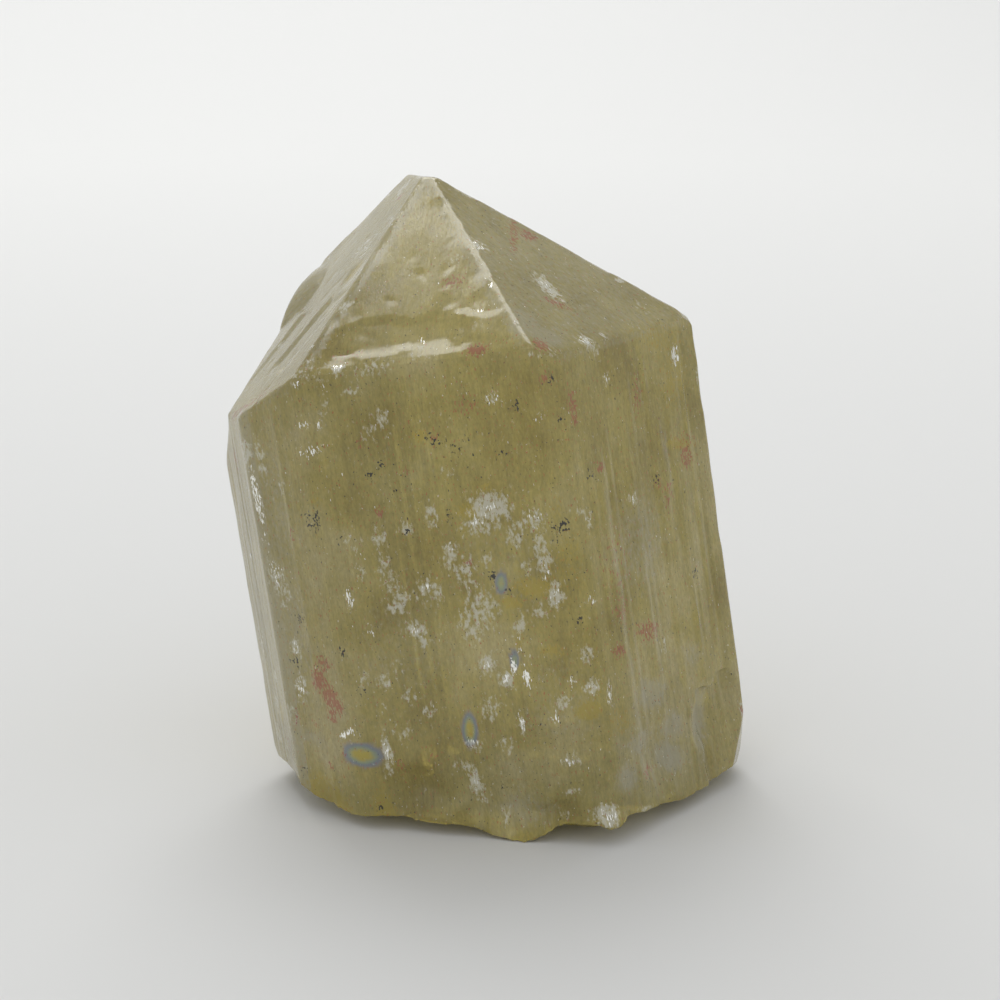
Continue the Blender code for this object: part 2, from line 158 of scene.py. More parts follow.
def makeFace(name, kind, bearing, slope, distance, pose):
    normal = pose @ direction(bearing, slope)
    across = pose @ direction(bearing + 90, 90)
    return {"name": name, "kind": kind, "normal": normal, "distance": distance,
            "across": across, "along": normal.cross(across)}


def crystalFaces():
    form = crystalForm
    pose = crystalPose()
    foot = Vector((*form["axisFoot"], 0))
    slope = math.degrees(math.atan(2 * form["axialRatio"] / math.sqrt(3)))
    faces = {}
    for name, (bearing, distance) in form["prismFaces"].items():
        face = makeFace(name, "prism", bearing, 90, distance, pose)
        face["distance"] += face["normal"].dot(foot)
        faces[name] = face
    for name, (bearing, apex) in form["pyramidFaces"].items():
        face = makeFace(name, "pyramid", bearing, slope, 0, pose)
        face["distance"] = face["normal"].dot(foot + pose @ Vector((0, 0, apex)))
        faces[name] = face
    faces["ground"] = makeFace("ground", "ground", 0, 180, 0, Matrix.Identity(3))
    for name, (corner, bearing, tilt, depth) in form["brokenFacets"].items():
        rows = Matrix([faces[other]["normal"] for other in corner])
        point = rows.inverted() @ Vector([faces[other]["distance"] for other in corner])
        face = makeFace(name, "break", bearing, tilt, 0, pose)
        face["distance"] = face["normal"].dot(point) - depth
        faces[name] = face
    return faces


def spread(low, high, step):
    count = max(1, math.ceil((high - low) / step))
    return [low + (high - low) * i / count for i in range(1, count)]


def sliceFace(bm, layer, index, normal, positions):
    for position in positions:
        polygons = [p for p in bm.faces if p[layer] == index]
        edges = list({e for p in polygons for e in p.edges})
        verts = list({v for p in polygons for v in p.verts})
        bmesh.ops.bisect_plane(bm, geom=polygons + edges + verts, dist=crystalForm["latticeSnap"],
                               plane_co=normal * position, plane_no=normal)


def noiseAt(points, length, seed):
    offset = Vector((seed, 2 * seed, -seed))
    return np.array([noise.noise(Vector(p) / length + offset) for p in points])


def reliefOf(face, points, number):
    form = crystalForm
    seeds = form["seeds"]
    foot = Vector((*form["axisFoot"], 0))
    start = foot if face["kind"] == "prism" else foot + crystalPose() @ Vector((0, 0, form["shoulder"]))
    across = (points - np.array(foot)) @ np.array(face["across"])
    along = (points - np.array(start)) @ np.array(face["along"])
    height = form["swellDepth"] * noiseAt(points, form["swellLength"], seeds["swell"] * number)
    if face["kind"] == "prism":
        seed = seeds["striation"] * number
        for order, width in enumerate(form["striationWidths"], start=1):
            sway = form["striationWaver"] * np.sin(order * along / form["striationSway"])
            height += form["striationDepth"] * np.sin(2 * math.pi * across / width + seed * order + sway) / order
        stretched = points * (1, 1, form["fineRidgeStretch"])
        broken = noiseAt(stretched, form["fineRidgeLength"], seeds["fineRidge"] + number)
        for order, width in enumerate(form["fineRidgeWidths"], start=1):
            wave = np.sin(2 * math.pi * across / width + order)
            height += form["fineRidge"] * np.clip(1 + 2 * broken, 0, 2) * wave
    if face["kind"] == "break":
        height += form["breakRipple"] * noiseAt(points, form["rippleLength"], seeds["ripple"] * number)
    wander = noiseAt(points, form["wanderLength"], seeds["wander"] + number)
    for midAcross, midAlong, halfWidth, halfLength, rise in form["ledges"].get(face["name"], ()):
        side = halfWidth - np.abs(across - midAcross) + form["ledgeWander"] * wander
        end = halfLength - np.abs(along - midAlong) + form["ledgeTaper"] * form["ledgeWander"] * wander
        edge = np.minimum(side, form["ledgeTaper"] * end * halfWidth / halfLength)
        height += rise * np.clip(edge / form["ledgeRamp"], 0, 1)
    for midAcross, midAlong, radius, depth in form["hollows"].get(face["name"], ()):
        reach = ((across - midAcross) ** 2 + (along - midAlong) ** 2) / radius ** 2
        height -= depth * np.clip(1 - reach, 0, 1)
    pits = form["pitGain"] * noiseAt(points, form["pitLength"], seeds["pit"] + number) - form["pitLevel"]
    height -= form["pitDepth"] * np.clip(pits, 0, 1)
    return height


def undersideHeight(points, faces):
    form = crystalForm
    seeds = form["seeds"]
    slack = [faces[name]["distance"] - points @ np.array(faces[name]["normal"]) for name in form["prismFaces"]]
    inside = np.maximum(np.min(slack, axis=0), 0)
    bearing = np.degrees(np.arctan2(points[:, 0], -points[:, 1]))
    rim = np.interp(bearing, [r[0] for r in form["rimHeights"]], [r[1] for r in form["rimHeights"]])
    rim = np.maximum(rim + form["rimLump"] * noiseAt(points, form["lumpLength"], seeds["lump"]), form["lowestRim"])
    width = form["rimWidth"] * (1 + form["rimWander"] * noiseAt(points, form["rimWanderLength"], seeds["rim"]))
    return rim * np.clip(1 - inside / width, 0, 1) ** form["rimCurve"]


# Every point of the ideal crystal moves along a line from the heart to the nearest worn face, so the
# surface can't cross itself.
def realSurface(points, faces):
    form = crystalForm
    heart = np.array(Vector((*form["axisFoot"], 0)) + crystalPose() @ Vector((0, 0, form["heart"])))
    rays = points - heart
    lengths = np.linalg.norm(rays, axis=1)
    upper = [face for face in faces.values() if face["kind"] != "ground"]
    slack = np.sort([face["distance"] - points @ np.array(face["normal"]) for face in upper], axis=0)
    calm = np.clip(slack[1] / form["edgeBand"], 0, 1)
    reaches = []
    for number, face in enumerate(faces.values()):
        normal = np.array(face["normal"])
        near = face["distance"] - points @ normal < form["faceReach"]
        relief = np.zeros(len(points))
        if face["kind"] == "ground":
            relief[near] = -undersideHeight(points[near], faces)
        elif near.any():
            share = form["evenFaces"].get(face["name"], 1)
            relief[near] = calm[near] * reliefOf(face, points[near], number) * share
        toward = np.maximum(rays @ normal, 1e-6)  # a face seen from behind is as good as endlessly far away
        reaches.append((face["distance"] + relief - heart @ normal) / toward)
    reaches = np.sort(reaches, axis=0)
    gap = (reaches[1] - reaches[0]) * lengths
    bite = np.clip(form["chipShare"] * noiseAt(points, form["chipLength"], form["seeds"]["chip"]), 0, 1)
    clearOfFoot = np.clip(points[:, 2] / form["rimBand"], 0, 1)
    wear = form["edgeRound"] * np.exp(-gap / form["edgeRound"])
    wear += form["edgeChip"] * bite * np.exp(-gap / form["chipReach"])
    rise = -wear * clearOfFoot
    foot = np.array((*form["axisFoot"], 0))
    for place, radius, height in form["knobs"]:
        reach = np.linalg.norm(points - foot - np.array(place), axis=1) / radius
        rise += height * np.clip(1 - reach ** 2, 0, 1)
    moved = heart + rays * (reaches[0] + rise / lengths)[:, None]
    moved[:, 2] = np.maximum(moved[:, 2], 0)
    return moved


def makeCrystal(faces):
    form = crystalForm
    bm = bmesh.new()
    layer = bm.faces.layers.int.new("crystalFace")
    bmesh.ops.create_cube(bm, size=form["block"])
    for index, face in enumerate(faces.values()):
        cut = bmesh.ops.bisect_plane(bm, geom=bm.verts[:] + bm.edges[:] + bm.faces[:],
                                     dist=form["cutSnap"], clear_outer=True,
                                     plane_co=face["normal"] * face["distance"],
                                     plane_no=face["normal"])
        rim = [item for item in cut["geom_cut"] if isinstance(item, bmesh.types.BMEdge)]
        if rim:
            for polygon in bmesh.ops.edgeloop_fill(bm, edges=rim)["faces"]:
                polygon[layer] = index
    for index, face in enumerate(faces.values()):
        corners = [v.co for p in bm.faces if p[layer] == index for v in p.verts]
        if not corners:
            continue
        across = [c.dot(face["across"]) for c in corners]
        along = [c.dot(face["along"]) for c in corners]
        low, high = min(along), max(along)
        width, length = form["lattice"][face["kind"]]
        steps = spread(low, high, length)
        if face["kind"] == "prism":
            band = low + form["rimBand"]
            steps = spread(low, band, form["rimStep"]) + [band] + spread(band, high, length)
        sliceFace(bm, layer, index, face["across"], spread(min(across), max(across), width))
        sliceFace(bm, layer, index, face["along"], steps)
    bmesh.ops.triangulate(bm, faces=bm.faces[:], quad_method="SHORT_EDGE", ngon_method="BEAUTY")
    bmesh.ops.subdivide_edges(bm, edges=bm.edges[:], cuts=form["finer"], use_grid_fill=True)
    bmesh.ops.triangulate(bm, faces=bm.faces[:])
    # Each face carries its own place, across and along, so that its grain runs the way it grew.
    onFace = bm.loops.layers.float_vector.new("facePlace")
    foot = Vector((*form["axisFoot"], 0))
    every = list(faces.values())
    for polygon in bm.faces:
        face = every[polygon[layer]]
        for loop in polygon.loops:
            spot = loop.vert.co - foot
            loop[onFace] = (spot.dot(face["across"]), spot.dot(face["along"]), form["grainShift"] * polygon[layer])
    points = np.array([v.co[:] for v in bm.verts])
    for vert, place in zip(bm.verts, realSurface(points, faces)):
        vert.co = Vector(place) * mm
    bmesh.ops.recalc_face_normals(bm, faces=bm.faces[:])
    mesh = bpy.data.meshes.new("crystal")
    bm.to_mesh(mesh)
    bm.free()
    mesh.polygons.foreach_set("use_smooth", [True] * len(mesh.polygons))
    mesh.set_sharp_from_angle(angle=math.radians(form["sharpAngle"]))
    addMarks(mesh, points, faces)
    crystal = bpy.data.objects.new("crystal", mesh)
    bpy.context.scene.collection.objects.link(crystal)
    return crystal


# Marks on and just under the surface, by face: centre across, centre along, half width, half length,
# lean in degrees, strength.
crystalMarks = {
    "veils": {
        "front": ((2.6, 17.2, 1.17, 0.8, 9, 1), (1.8, 16.2, 0.96, 0.43, 9, 0.8), (3.7, 15.6, 0.48, 0.75, 9, 0.7),
         (4.8, 16.3, 0.74, 0.69, 8, 0.65), (5, 14.4, 0.48, 1.38, -4, 0.75), (2, 14.4, 0.27, 0.54, 9, 0.7),
         (0.8, 13.9, 0.54, 0.92, 9, 0.7), (1.3, 11.8, 0.97, 1.2, 9, 0.7), (5.4, 12.1, 0.48, 0.7, 8, 0.95),
         (4.4, 11.4, 0.37, 0.55, 47, 0.8), (3.3, 10.8, 0.32, 0.66, 28, 0.8), (4, 13.7, 0.27, 0.43, 8, 0.7),
         (-2.3, 11, 0.45, 0.75, -42, 0.9), (-2.1, 10.2, 0.27, 0.33, 9, 0.7), (-3.2, 12.4, 0.54, 0.44, 9, 0.8),
         (0.7, 11.1, 0.7, 1.2, 9, 0.65), (1.2, 8.8, 0.49, 0.6, 9, 0.85), (2.1, 7.8, 0.43, 0.55, 9, 0.9),
         (-5.6, 8.7, 0.33, 0.5, 9, 0.6), (-4.5, 8.5, 0.45, 0.43, -21, 0.75), (-3.7, 9.1, 0.49, 0.33, 9, 0.45),
         (-3.4, 7.5, 0.4, 0.59, -37, 0.55), (-2.4, 6.5, 0.39, 0.55, -11, 0.65), (-4.8, 7, 0.33, 0.56, 9, 0.4),
         (-3.9, 5.5, 0.55, 0.45, 9, 0.6), (-5, 4.4, 0.28, 1.34, 2, 0.85), (-0.2, 4.5, 0.6, 0.33, 9, 0.75),
         (-0.4, 2.2, 0.39, 1.21, -11, 0.9), (-1.1, 3.2, 0.49, 0.28, 9, 0.65), (1.6, 4.2, 0.44, 0.82, -11, 0.5),
         (0.9, 0.2, 0.22, 0.45, 9, 0.7), (2.6, 5.4, 0.22, 0.71, -6, 0.7), (1, 6.3, 0.6, 0.72, 9, 0.6),
         (-3.5, 16.3, 0.43, 0.7, 9, 0.65), (-0.6, 17.1, 0.38, 0.75, 9, 0.65), (-2, 16.5, 0.43, 0.43, 9, 0.8),
         (0.1, 14.8, 0.43, 1.03, 9, 0.75), (-3.4, 14.2, 0.44, 1.61, -9, 0.6), (-1.4, 13.1, 0.65, 0.82, 9, 0.65),
         (-2.8, 13, 0.49, 0.49, 9, 0.8), (-0.9, 12.8, 0.32, 0.76, 9, 0.65), (-4.8, 14.6, 0.27, 0.49, 9, 0.55),
         (-5, 16.2, 0.6, 0.65, 9, 0.4), (-2.4, 22.5, 0.38, 0.58, -11, 0.65), (-3.1, 22.1, 0.48, 0.9, 9, 0.4),
         (-3.7, 24.3, 0.64, 0.53, 9, 0.4), (-5.4, 23.4, 0.27, 1.01, 9, 0.4), (0.6, 19.3, 0.53, 0.37, 9, 0.4),
         (4.9, 6.3, 0.49, 0.37, -22, 0.8), (5, 3.1, 0.54, 0.33, 8, 0.75), (4.7, 1.5, 0.38, 0.22, 8, 0.7),
         (4.1, 0.1, 0.32, 0.39, 8, 0.5), (3.6, 22.9, 0.68, 0.21, 9, 0.6)),
        "frontRight": ((-5.2, 16.4, 0.5, 0.31, 13, 0.6), (-4.7, 15.7, 0.3, 0.68, 13, 0.6),
         (-5.1, 6.3, 0.26, 0.69, 13, 0.7), (-3.3, -0.7, 0.82, 0.22, 13, 0.7), (0.2, 7.3, 0.32, 0.6, 13, 0.55),
         (-2.2, 24.3, 0.51, 0.32, 13, 0.6), (-0.9, 15.9, 0.53, 0.38, 13, 0.6), (-1.5, 22.7, 0.34, 0.48, 13, 0.5)),
        "leftTruncation": ((-3.6, 10.4, 0.36, 0.62, 2, 0.75), (-3.7, 8.2, 0.55, 0.77, 13, 0.6),
         (-3.9, 20.9, 0.32, 1.14, -1, 0.65), (-2.6, 19.5, 0.31, 0.7, -4, 0.45), (-4.2, 14.3, 0.64, 1.11, 2, 0.6),
         (-3.8, 13.4, 0.48, 0.78, 2, 0.6)),
        "rightTruncation": ((0.3, 8.7, 0.51, 0.48, 9, 0.7), (0.4, 6.9, 0.52, 0.48, 9, 0.85),
         (0.1, -0.1, 0.75, 0.6, 9, 1), (0.2, 24.9, 1.11, 0.15, 9, 0.5)),
        "rightPyramid": ((-2.4, -1.7, 0.63, 0.54, 46, 0.6), (-0.9, -5.7, 0.54, 1.12, 11, 0.95),
         (3.9, -8.9, 0.51, 0.54, 50, 0.4), (-2.5, -10.2, 0.55, 0.5, 49, 0.8), (-1, -10.2, 0.28, 0.31, 49, 0.7)),
        "frontPyramid": ((1.6, -2.6, 0.51, 0.38, -3, 0.5), (-6, -9.6, 1.01, 0.94, -5, 0.45),
         (-4.4, -9.6, 0.45, 0.36, -5, 0.8), (-2.4, -9.7, 1.22, 0.43, -4, 0.6), (0.1, -9.2, 0.77, 0.65, -3, 0.35)),
        "leftPyramid": ((-0.5, -1.2, 0.99, 0.9, -32, 0.6), (0.7, 0.4, 0.97, 0.89, -32, 0.45)),
    },
    # Milky patches of the stone, and painted reflection: the hazes covering the whole of frontLeft, leftPyramid and
    # rightPyramid lighten faces that mirror the white surround.
    "hazesAndSheen": {
        "frontLeft": ((2.0, 12.0, 5.0, 16.0, 0, 0.7),),
        "leftPyramid": ((0, -4.0, 9.0, 9.0, 0, 0.6),),
        "frontRight": ((-1.5, 5.2, 1.28, 0.87, 13, 0.8), (-0.1, 2.9, 1.03, 0.93, 13, 0.8),
         (-0.6, 1.2, 1.12, 0.77, 13, 0.9), (-4.6, 1.4, 0.89, 0.8, 13, 0.7), (2.8, 2.3, 0.77, 1.92, 8, 0.9),
         (2.6, 6.3, 0.76, 0.89, 13, 0.5), (-3, 3, 1.26, 0.65, 13, 0.7), (-0.6, 13.6, 2.17, 2.7, 13, 0.5)),
        "rightPyramid": ((0, -4.0, 9.0, 9.0, 0, 0.55), (-3.4, -9, 2.87, 0.63, -21, 0.6),
         (-5.1, -7.8, 1.07, 1.6, 47, 0.8), (-4.7, -9.1, 1.34, 0.99, 48, 0.8)),
        "leftTruncation": ((-4.1, 12, 1.76, 5.01, 2, 0.55), (-4, 17.6, 2.05, 4.38, 2, 0.5),
         (-4.3, 5.5, 1.9, 0.48, 13, 0.6)),
        "front": ((2.3, 0.6, 1.52, 1.01, 8, 0.45), (-3.4, 10.1, 2.72, 3.29, 9, 0.25),
         (2.7, 14.3, 3.19, 3.22, 9, 0.25), (4.8, 6.5, 2.14, 2.74, 8, 0.25)),
    },
    # Painted highlights: glints of light off cracks, set as near-white spots in the colour and made mirror-like
    # where the mask is full.
    "paintedGlints": {
        "front": ((-6.4, 21.3, 0.16, 0.88, 87, 0.8), (-6.7, 22.8, 0.13, 0.43, 97, 0.7),
         (-5.8, 22.6, 0.16, 0.16, 9, 0.8), (-5.7, 13.2, 0.17, 0.54, -1, 0.8), (-1.4, 13.3, 0.27, 0.27, 9, 0.8),
         (0.2, 15.3, 0.21, 0.43, 9, 0.6), (3.6, 22.9, 0.21, 0.63, 91, 0.6), (5.9, 21.6, 0.16, 0.32, 87, 0.6),
         (2.6, 17.3, 0.53, 0.43, 9, 0.45), (4.9, 16.3, 0.63, 0.64, 8, 0.35), (5, 13.6, 0.32, 0.54, 8, 0.5),
         (5.4, 12.2, 0.32, 0.43, 8, 0.6), (1.9, 16.6, 0.42, 0.54, 67, 0.5), (3.2, 7.9, 0.14, 0.6, -1, 1),
         (2.6, 8.5, 0.14, 0.54, 1, 0.9), (2.1, 7.8, 0.27, 0.38, 9, 0.8), (3.1, 9.6, 0.16, 0.44, 8, 0.5),
         (-5, 4.5, 0.17, 0.89, 2, 0.6), (-5.6, 13, 0.14, 0.44, -1, 0.8), (-4.8, 11.2, 0.22, 0.28, 9, 0.7),
         (-0.2, 4.6, 0.33, 0.28, 9, 0.6), (4.4, 5.6, 0.27, 0.28, 8, 0.8), (5.6, 7.4, 0.16, 0.27, 8, 0.8),
         (4.9, 3.1, 0.43, 0.28, 8, 0.6), (-2.3, 11, 0.28, 0.48, -42, 0.5), (1.2, 8.8, 0.27, 0.38, 9, 0.6),
         (-0.4, 2.2, 0.22, 0.77, -11, 0.4), (2.6, 5.4, 0.14, 0.55, -6, 0.7), (0.3, 11.8, 0.22, 0.33, 9, 0.4),
         (-5.3, 24.5, 0.27, 0.27, 9, 0.4), (-6.7, 24.9, 0.22, 0.21, 10, 0.6)),
        "leftTruncation": ((-4.7, 19, 0.32, 1.63, -4, 0.8), (-4.6, 16.4, 0.32, 0.35, 13, 0.5),
         (-4.2, 14.5, 0.4, 0.89, 2, 0.5), (-0.8, 5.7, 0.22, 0.72, 69, 1), (-3.6, 10.4, 0.24, 0.45, 2, 0.6),
         (-3.8, 8.2, 0.4, 0.59, 13, 0.55)),
        "frontRight": ((4.7, 22.8, 0.42, 0.55, 13, 0.95), (-0.8, 16, 0.27, 0.22, 13, 0.6),
         (-1.5, 22.7, 0.22, 0.32, 13, 0.6), (-4.8, 15.6, 0.21, 0.42, 13, 0.5), (-5.1, 6.3, 0.22, 0.53, 13, 0.6)),
        "rightTruncation": ((0.4, 6.9, 0.29, 0.27, 9, 0.6), (0.1, -0.1, 0.52, 0.44, 9, 0.55),
         (1, 11.5, 0.34, 0.16, 9, 0.6)),
        "frontPyramid": ((-4.4, -9.5, 0.34, 0.29, -5, 0.7), (0.1, -8.3, 0.22, 0.29, -3, 0.7),
         (3.2, -6.7, 0.14, 0.22, -2, 0.8), (3.7, -4.9, 0.17, 0.37, -2, 0.7)),
        "rightPyramid": ((-2.5, -10.2, 0.41, 0.3, 49, 0.8), (-0.9, -5.7, 0.32, 0.79, 11, 0.5),
         (-2.4, -1.7, 0.35, 0.43, 46, 0.6)),
        "leftPyramid": ((0.4, -1.4, 0.61, 0.59, -32, 0.5),),
    },
    "stains": {
        "leftTruncation": ((-2.2, 8.7, 0.54, 0.64, 13, 1), (-1.6, 9.6, 0.62, 0.35, 13, 0.8),
         (-1.5, 7.7, 0.56, 0.81, -18, 1), (-1, 7.2, 0.31, 0.41, 13, 1), (-1.6, 6.6, 0.31, 0.35, 13, 0.9),
         (-4.5, 6.4, 0.2, 0.48, 13, 0.6), (-3.1, 6.1, 0.32, 0.24, 13, 0.5), (-1.3, 4.4, 0.23, 0.3, 13, 0.6),
         (-2.4, 3.8, 0.24, 0.3, 13, 0.6), (-2.4, 16.8, 0.23, 0.4, 13, 0.5)),
        "frontRight": ((-1, 8.7, 1, 0.49, 13, 0.75), (-3.8, 8.4, 0.52, 0.43, 13, 0.8),
         (-3.1, 10.4, 0.7, 0.64, 13, 0.5), (-2.7, 1.1, 0.45, 0.27, 13, 0.6), (-4.7, 21.7, 0.33, 1.05, 0, 0.7),
         (4.6, 17.2, 0.47, 0.72, 13, 0.8), (4.6, 18.2, 0.94, 0.33, 13, 0.4), (0.9, 21.3, 0.36, 1.08, 13, 0.5),
         (-3.2, 18.2, 0.43, 0.32, 13, 0.8), (2.4, 15.7, 0.46, 0.55, 13, 0.5), (1.6, 16.2, 0.36, 0.27, 13, 0.6),
         (2.2, 14.9, 0.28, 0.49, 13, 0.5), (-3, 13.1, 1.22, 2.13, 13, 0.25)),
        "frontPyramid": ((3.1, -9.5, 0.6, 0.36, -3, 1), (1.6, -4.3, 0.68, 0.6, -3, 0.5),
         (-3.9, -8.7, 0.79, 0.44, -5, 0.3)),
        "rightPyramid": ((-5.7, -9.6, 0.4, 0.49, 48, 0.9), (1.3, -1, 2.94, 0.28, -43, 0.6),
         (1.8, -1.7, 0.51, 0.56, 47, 0.8), (-1.6, -7.1, 0.34, 0.86, -32, 0.7), (-1.1, -7.7, 0.34, 0.75, -21, 0.4)),
        "leftPyramid": ((1.4, -12.8, 1.64, 0.34, -34, 0.6), (3, -11.6, 0.93, 0.47, -17, 0.4)),
        "front": ((-1.6, 19.7, 0.16, 0.21, 9, 0.6), (-3.7, 21.5, 0.22, 0.32, 9, 0.5),
         (-3.3, 17.6, 0.14, 0.16, 9, 1), (2.1, 22.7, 0.85, 0.53, 9, 0.35), (0.2, 21.2, 0.16, 0.32, 9, 0.6),
         (-4.4, 3.6, 0.14, 0.45, 9, 0.5), (-2.5, 4, 0.22, 0.22, 9, 0.5), (3, 5.5, 0.43, 0.28, 8, 0.4),
         (1.1, 14.4, 0.16, 0.22, 9, 0.7)),
        "rightTruncation": ((0.2, 23.6, 0.42, 0.22, -52, 0.7),),
    },
    "specks": {
        "front": ((-6.8, 17.6, 0.14, 0.6, 10, 1), (-2.8, 20.1, 0.13, 0.16, 9, 1), (-3.5, 19.6, 0.22, 0.16, 9, 1),
         (-0.1, 21.3, 0.16, 0.16, 9, 1), (0.2, 21, 0.13, 0.16, 9, 0.9), (0.7, 20.8, 0.53, 0.32, 9, 0.5),
         (1.3, 20.4, 0.32, 0.27, 9, 0.5), (-1.7, 19.3, 0.22, 0.21, 9, 0.6), (-2, 16.4, 0.16, 0.22, 9, 0.9),
         (5.8, 15.8, 0.21, 0.27, 8, 0.8), (5.9, 15.1, 0.26, 0.21, 8, 0.6), (4.8, 22.3, 0.13, 0.13, 9, 1),
         (3.8, 19.9, 0.37, 0.26, 9, 0.6), (3.3, 21.2, 0.32, 0.16, 9, 0.4), (-6.6, 10.3, 0.19, 0.17, 9, 1),
         (-5.8, 8, 0.28, 0.17, 9, 0.5), (-5.9, 1.4, 0.17, 0.17, 9, 0.9), (1, 1.9, 0.22, 0.28, 9, 0.6),
         (-2.3, 18.6, 0.13, 0.16, 9, 0.6), (-5.7, 16.4, 0.14, 0.16, 9, 0.8), (2.2, 13.5, 0.13, 0.38, 9, 1),
         (2.9, 12.7, 0.16, 0.22, 9, 0.7), (0.4, 17, 0.16, 0.21, 9, 0.9), (1.9, 21, 0.13, 0.21, 9, 0.6)),
        "leftTruncation": ((-1, 17.8, 0.45, 0.22, 13, 0.7), (-1, 17.2, 0.23, 0.34, 13, 0.6),
         (-3.8, 9.6, 0.39, 0.24, 13, 1), (-2.9, 12.1, 0.39, 0.29, 13, 0.8), (-4.9, 1.3, 0.41, 0.24, 13, 0.5),
         (-4.6, 3.3, 0.32, 0.36, 13, 0.4)),
        "rightTruncation": ((0, 15.8, 0.39, 0.32, 9, 1), (0.6, 23.5, 0.14, 0.16, 9, 1),
         (0.7, 21.3, 0.14, 0.21, 9, 0.9), (0.2, 10.6, 0.23, 0.21, 9, 0.9)),
        "frontRight": ((3.8, 10.7, 0.24, 0.28, 13, 1), (-4.1, 18, 0.34, 0.21, 13, 0.7),
         (-2.3, 9.5, 0.27, 0.27, 13, 0.5), (1.5, 16.5, 0.27, 0.16, 13, 0.8), (-3.4, 9.5, 0.22, 0.32, 13, 0.5),
         (2.6, 8.5, 0.47, 0.17, 13, 0.4)),
    },
    # Yellow patches of the stone, and painted glow: the low wide bands at the foot of front and leftTruncation
    # paint light shining through the base.
    "goldsAndGlow": {
        "front": ((4.3, 12.7, 0.96, 0.49, 8, 0.9), (3, 12, 0.64, 0.22, 9, 0.9), (1.5, 17.1, 0.75, 0.43, 9, 0.6),
         (2.6, 18.3, 0.32, 0.21, 9, 0.6), (4.7, 9.2, 0.75, 0.16, 8, 0.7), (3.1, 9.9, 0.21, 0.49, 8, 0.6),
         (-6.7, 18.6, 0.44, 0.27, 10, 0.5), (-0.5, 21.4, 0.43, 0.21, 9, 0.7), (-5.7, 1, 1.35, 0.51, 85, 0.8)),
        "frontRight": ((4.1, 18, 1.31, 0.33, 13, 0.8), (3.9, 21.3, 0.46, 0.66, 13, 0.7),
         (-4.6, 4.6, 0.88, 0.75, 13, 0.5), (3.6, 23.9, 2.41, 0.87, 13, 0.4), (4.4, 21.5, 1.31, 1.65, 13, 0.4)),
        "rightTruncation": ((0, 5.7, 0.63, 0.49, 9, 1), (0.4, 6.8, 0.57, 0.43, 9, 0.4),
         (-0.1, 16.8, 0.28, 0.84, 9, 0.35), (0.1, 13.9, 0.79, 2.11, 9, 0.3)),
        "leftTruncation": ((-2.2, 1.5, 1.42, 0.74, 66, 0.8), (-3.6, 2.3, 1, 0.89, -31, 0.6)),
        "frontPyramid": ((1.5, -0.4, 0.54, 1.96, -17, 0.3), (-0.1, 2.7, 0.71, 0.98, -3, 0.3)),
    },
    "rainbows": {
        "front": ((-6.4, 4.5, 0.94, 0.51, 9, 1), (-0.3, 5.3, 0.33, 0.78, 9, 1), (2.6, 13.1, 0.27, 0.49, 9, 0.8),
         (2.7, 8.9, 0.21, 0.44, 9, 0.7)),
    },
}
hiddenMarks = {  # how many of each the faces away from the front get, and the least and greatest half length
    "seed": 41, "faces": ("back", "backLeft", "backRight", "rearTruncation", "frontLeft", "backPyramid",
                          "backLeftPyramid", "backRightPyramid", "leftPyramid"),
    # The glints scattered here are painted highlights as well.
    "veils": (12, 0.3, 0.9), "hazesAndSheen": (3, 0.7, 1.8), "paintedGlints": (7, 0.2, 0.5), "stains": (5, 0.25, 0.7),
    "specks": (4, 0.2, 0.3), "goldsAndGlow": (3, 0.4, 0.8), "rainbows": (0, 0.3, 0.5),
    "slimness": 0.6, "lean": 25, "strength": (0.4, 0.9),
}
markShape = {
    "depth": 0.4,  # a mark reaches the points this near to its face
    "leastWidth": 0.2, "leastLength": 0.24,  # smaller marks would fall between the points of the mesh
    "core": 1.6, "fall": 1.1,  # full strength in the middle, fading out past the edge
}


def addMarks(mesh, points, faces):
    form = crystalForm
    rng = random.Random(hiddenMarks["seed"])
    foot = Vector((*form["axisFoot"], 0))
    shoulder = foot + crystalPose() @ Vector((0, 0, form["shoulder"]))
    for kind, byFace in crystalMarks.items():
        count, narrow, wide = hiddenMarks[kind]
        mask = np.zeros(len(points))
        for name, face in faces.items():
            near = np.abs(face["distance"] - points @ np.array(face["normal"])) < markShape["depth"]
            if face["kind"] not in ("prism", "pyramid") or not near.any():
                continue
            start = foot if face["kind"] == "prism" else shoulder
            across = (points[near] - np.array(foot)) @ np.array(face["across"])
            along = (points[near] - np.array(start)) @ np.array(face["along"])
            marks = list(byFace.get(name, ()))
            if name in hiddenMarks["faces"]:
                for i in range(count):
                    marks.append((rng.uniform(across.min(), across.max()), rng.uniform(along.min(), along.max()),
                                  rng.uniform(narrow, wide) * hiddenMarks["slimness"], rng.uniform(narrow, wide),
                                  rng.uniform(-hiddenMarks["lean"], hiddenMarks["lean"]),
                                  rng.uniform(*hiddenMarks["strength"])))
            worth = np.zeros(near.sum())
            for midAcross, midAlong, halfWidth, halfLength, lean, strength in marks:
                turn = math.radians(lean)
                offAcross, offAlong = across - midAcross, along - midAlong
                lengthwise = offAcross * math.sin(turn) + offAlong * math.cos(turn)
                sideways = offAcross * math.cos(turn) - offAlong * math.sin(turn)
                far = np.hypot(lengthwise / max(halfLength, markShape["leastLength"]),
                               sideways / max(halfWidth, markShape["leastWidth"]))
                held = np.clip(markShape["core"] - markShape["fall"] * far, 0, 1)
                worth = np.maximum(worth, strength * held)
            mask[near] = np.maximum(mask[near], worth)
        mesh.attributes.new(kind, "FLOAT", "POINT").data.foreach_set("value", mask)


